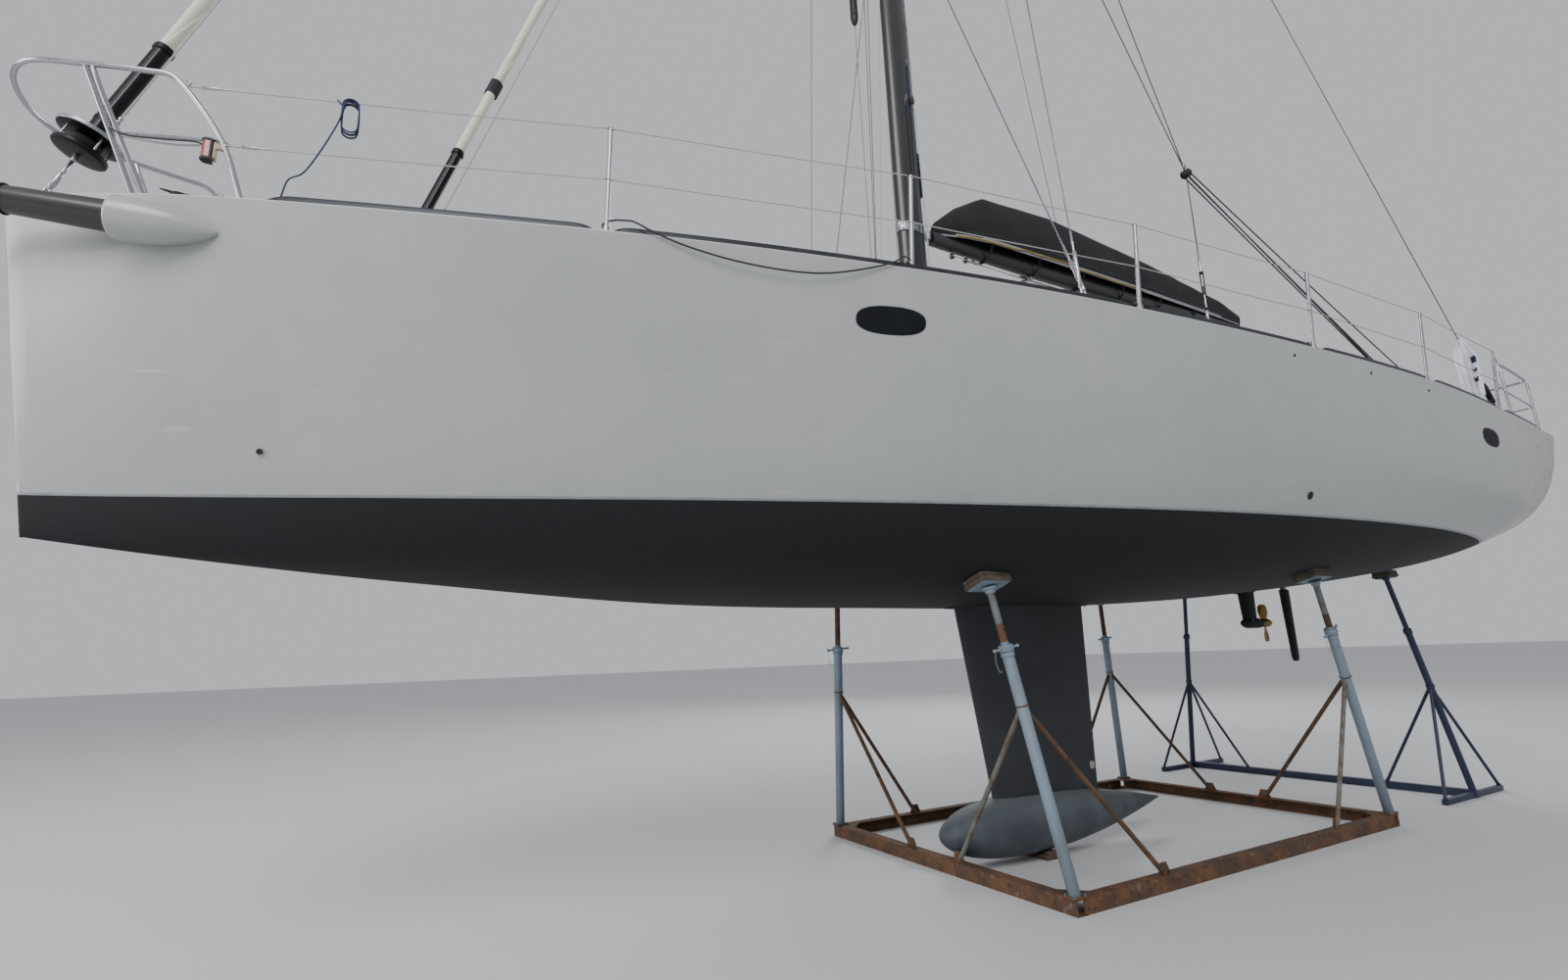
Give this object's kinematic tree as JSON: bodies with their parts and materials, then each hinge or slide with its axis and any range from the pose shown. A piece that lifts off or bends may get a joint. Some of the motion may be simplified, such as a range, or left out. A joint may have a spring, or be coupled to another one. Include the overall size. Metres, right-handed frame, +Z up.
{
  "type": "sailing yacht on a cradle",
  "caption": "Plumb-bowed sloop with rolled headsails and a covered boom, laid up ashore on a steel cradle with a stand under the stern.",
  "frame": {"origin": "on the ground under the middle of the yacht's overall length and beam", "axes": "+X to the bow, +Y to port, +Z up along the mast"},
  "size_m": [13.1002, 4.3012, 20.6],
  "materials": {
    "topside_grey": "satin",
    "deck_grey": "matt",
    "keel_grey": "matt",
    "timber": "rough sawn",
    "smoked_acrylic": "gloss",
    "carbon": "gloss",
    "stainless": "polished",
    "dark_rigging": "satin",
    "alloy": "satin",
    "rolled_sail": "matt",
    "cover_cloth": "matt",
    "red_lens": "gloss",
    "green_lens": "gloss",
    "rusty_steel": "rusty",
    "blue_grey_steel": "worn",
    "stand_blue": "satin",
    "antifouling": "matt",
    "bronze": "satin",
    "rope_blue": "matt",
    "rope_dark": "matt",
    "flag_cloth": "matt"
  },
  "bodies": {
    "yacht": {"hull": "topside_grey", "deck": "deck_grey", "coachroof": "deck_grey", "keel_fin": "keel_grey", "keel_bulb": "keel_grey", "keel_block": "timber", "window_port": "smoked_acrylic", "window_stbd": "smoked_acrylic", "bowsprit": "carbon", "stem_fitting": "stainless", "pulpit": "stainless", "pushpit_port": "stainless", "pushpit_stbd": "stainless", "stanchions_port": "stainless", "stanchions_stbd": "stainless", "mast": "carbon", "spreaders_lower": "carbon", "spreaders_upper": "carbon", "shrouds_port": "stainless", "shrouds_stbd": "stainless", "forestay_link": "stainless", "inner_stay_link": "stainless", "runner_port": "dark_rigging", "runner_stbd": "dark_rigging", "backstay_port": "dark_rigging", "backstay_stbd": "dark_rigging", "gooseneck": "alloy", "vang_bracket": "alloy", "winch_primary_port": "alloy", "winch_primary_stbd": "alloy", "winch_roof_port": "alloy", "winch_roof_stbd": "alloy", "nav_light_port": "red_lens", "nav_light_stbd": "green_lens", "washboard": "smoked_acrylic", "pedestal_port": "deck_grey", "pedestal_stbd": "deck_grey", "saildrive": "antifouling", "prop_fore_port": "blue_grey_steel", "prop_fore_stbd": "blue_grey_steel", "prop_aft_port": "blue_grey_steel", "prop_aft_stbd": "blue_grey_steel", "cradle": "rusty_steel", "stern_stand": "stand_blue", "furling_line": "rope_dark", "rope_hank": "rope_blue", "ensign": "flag_cloth"},
    "boom": {"boom": "carbon", "boom_cover": "cover_cloth", "vang": "carbon"},
    "genoa_furler": {"genoa_furler": "rolled_sail"},
    "staysail_furler": {"staysail_furler": "rolled_sail"},
    "fore_hatch": {"fore_hatch": "smoked_acrylic"},
    "roof_hatch": {"roof_hatch": "smoked_acrylic"},
    "companion_slide": {"companion_slide": "smoked_acrylic"},
    "wheel_port": {"wheel_port": "stainless"},
    "wheel_stbd": {"wheel_stbd": "stainless"},
    "rudder": {"rudder": "antifouling"},
    "propeller": {"propeller": "bronze"}
  },
  "joints": [
    {"name": "boom_swing", "type": "hinge", "parent": "yacht", "child": "boom", "pos_m": [-0.035, 0, 5.205], "axis": [0, 0, 1], "range_deg": [-22, 22]},
    {"name": "genoa_furl", "type": "hinge", "parent": "yacht", "child": "genoa_furler", "pos_m": [5.58454, 0, 4.19141], "axis": [-0.3373, 0, 0.9414], "continuous": true},
    {"name": "staysail_furl", "type": "hinge", "parent": "yacht", "child": "staysail_furler", "pos_m": [4.12977, 0, 3.9086], "axis": [-0.3264, 0, 0.9452], "continuous": true},
    {"name": "fore_hatch_lift", "type": "hinge", "parent": "yacht", "child": "fore_hatch", "pos_m": [2.705, 0, 3.82987], "axis": [0, 1, 0], "range_deg": [0, 85]},
    {"name": "roof_hatch_lift", "type": "hinge", "parent": "yacht", "child": "roof_hatch", "pos_m": [-0.865, 0, 4.06527], "axis": [0, 1, 0], "range_deg": [0, 85]},
    {"name": "companion_slide_run", "type": "slide", "parent": "yacht", "child": "companion_slide", "axis": [1, 0, 0], "range_m": [0, 0.6]},
    {"name": "rudder_turn", "type": "hinge", "parent": "yacht", "child": "rudder", "pos_m": [-4.72, 0, 2.1], "axis": [0, 0, 1], "range_deg": [-57, 13]},
    {"name": "wheel_port_turn", "type": "hinge", "parent": "yacht", "child": "wheel_port", "pos_m": [-5.18, 0.7, 3.62], "axis": [1, 0, 0], "range_deg": [-343, 79]},
    {"name": "wheel_stbd_turn", "type": "hinge", "parent": "yacht", "child": "wheel_stbd", "pos_m": [-5.18, -0.7, 3.62], "axis": [1, 0, 0], "range_deg": [-343, 79]},
    {"name": "propeller_spin", "type": "hinge", "parent": "yacht", "child": "propeller", "pos_m": [-4.245, 0, 1.75], "axis": [1, 0, 0], "continuous": true}
  ],
  "couplings": [
    {"joint": "wheel_port_turn", "follows": "rudder_turn", "ratio": 6},
    {"joint": "wheel_stbd_turn", "follows": "rudder_turn", "ratio": 6}
  ]
}
